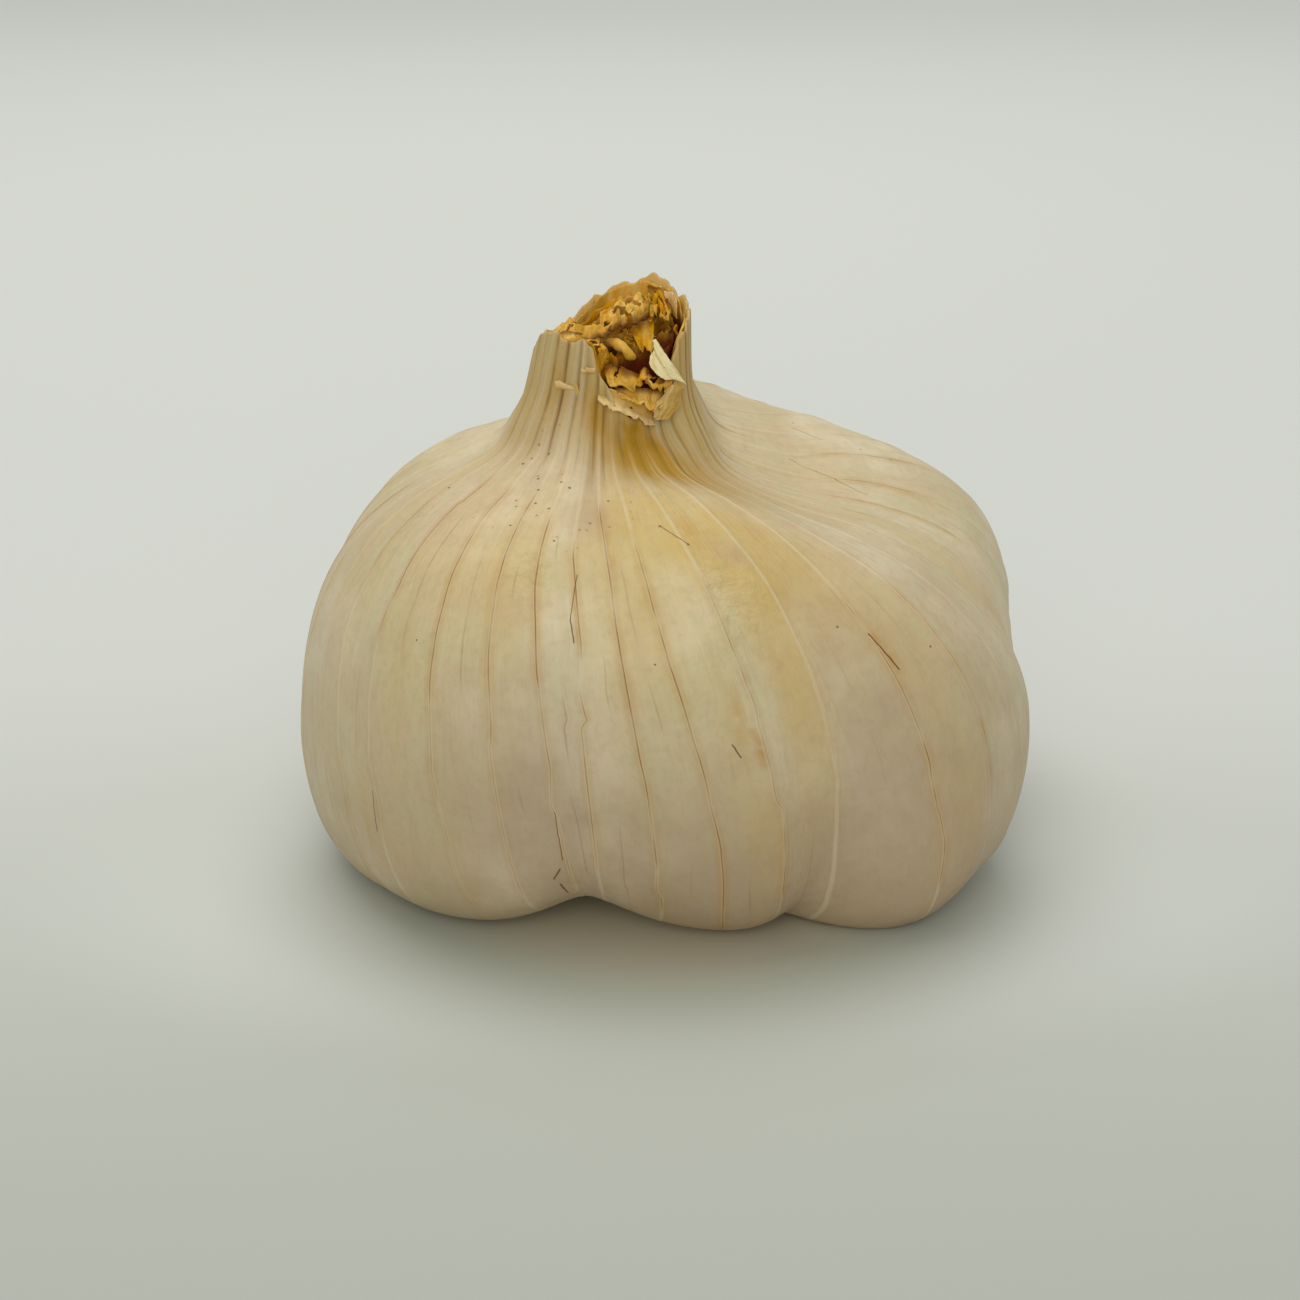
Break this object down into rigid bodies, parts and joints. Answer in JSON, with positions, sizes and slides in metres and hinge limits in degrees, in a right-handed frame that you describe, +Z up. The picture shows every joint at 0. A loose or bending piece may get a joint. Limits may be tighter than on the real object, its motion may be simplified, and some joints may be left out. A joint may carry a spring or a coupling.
{
  "type": "garlic bulb",
  "caption": "Whole dry garlic bulb in papery skin, with bulging cloves, a pleated neck torn open at the top, and a root plate underneath.",
  "frame": {"origin": "on the surface the bulb stands on, under the middle of its box", "axes": "+Z up along the neck, +X towards the larger cloves, -Y the front, where the neck is torn down"},
  "size_m": [0.0656, 0.0586, 0.0517],
  "materials": {
    "papery_skin": "dry papery skin with veins, satin",
    "dried_leaves": "dried torn leaf, matte",
    "root_plate": "corky, matte"
  },
  "bodies": {
    "root": {"bulb": "papery_skin", "neck_leaves": "dried_leaves", "root_plate": "root_plate"}
  },
  "joints": []
}
